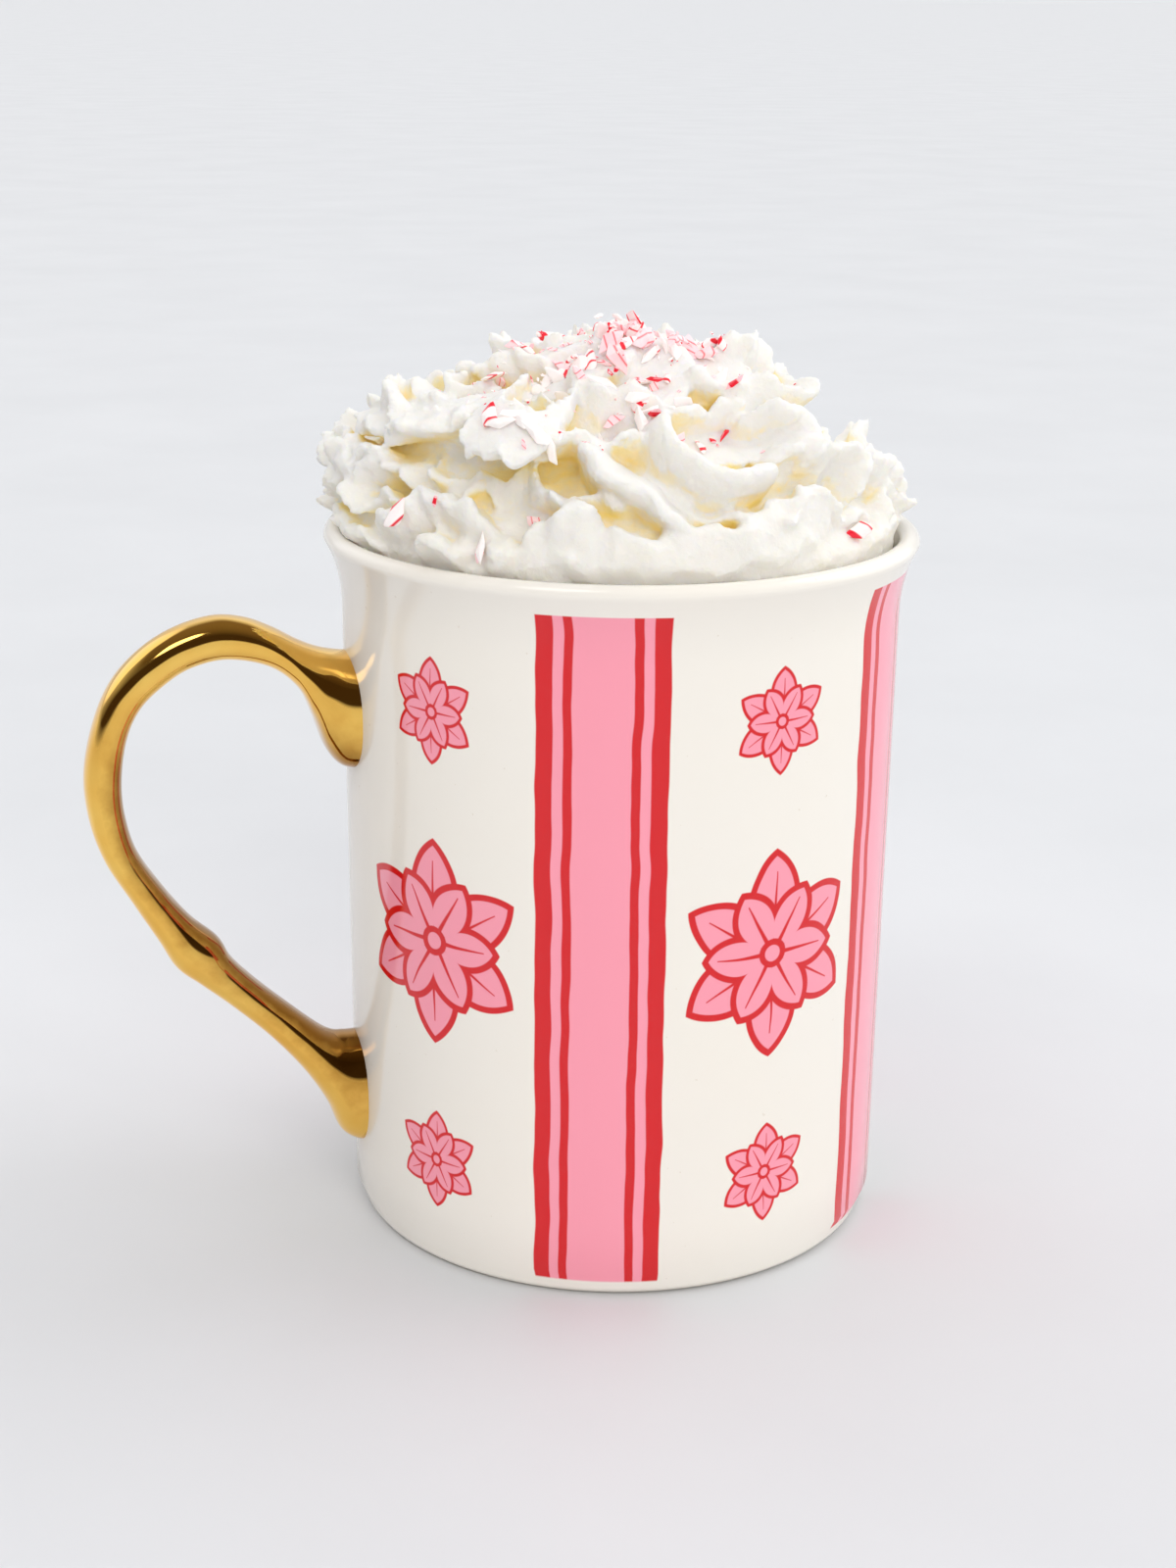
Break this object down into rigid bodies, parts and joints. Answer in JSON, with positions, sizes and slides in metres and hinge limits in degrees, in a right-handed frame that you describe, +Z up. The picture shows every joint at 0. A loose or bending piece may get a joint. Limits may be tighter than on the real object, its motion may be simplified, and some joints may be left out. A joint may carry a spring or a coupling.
{
  "type": "hot chocolate",
  "caption": "Tall ceramic mug with a gold loop handle, filled with hot chocolate under a heap of piped whipped cream strewn with crushed peppermint.",
  "frame": {"origin": "centre of the mug's flat foot, on the mug's axis", "axes": "+Z up along the mug's axis, -X along the handle, -Y towards the side that faces the viewer"},
  "size_m": [0.1269, 0.09, 0.1393],
  "materials": {
    "glaze": "gloss",
    "chocolate": "satin",
    "cream": "matte",
    "gold": "polished",
    "candy": "gloss"
  },
  "bodies": {
    "root": {"mug": "glaze", "hot_chocolate": "chocolate", "whipped_cream": "cream"}
  },
  "joints": []
}
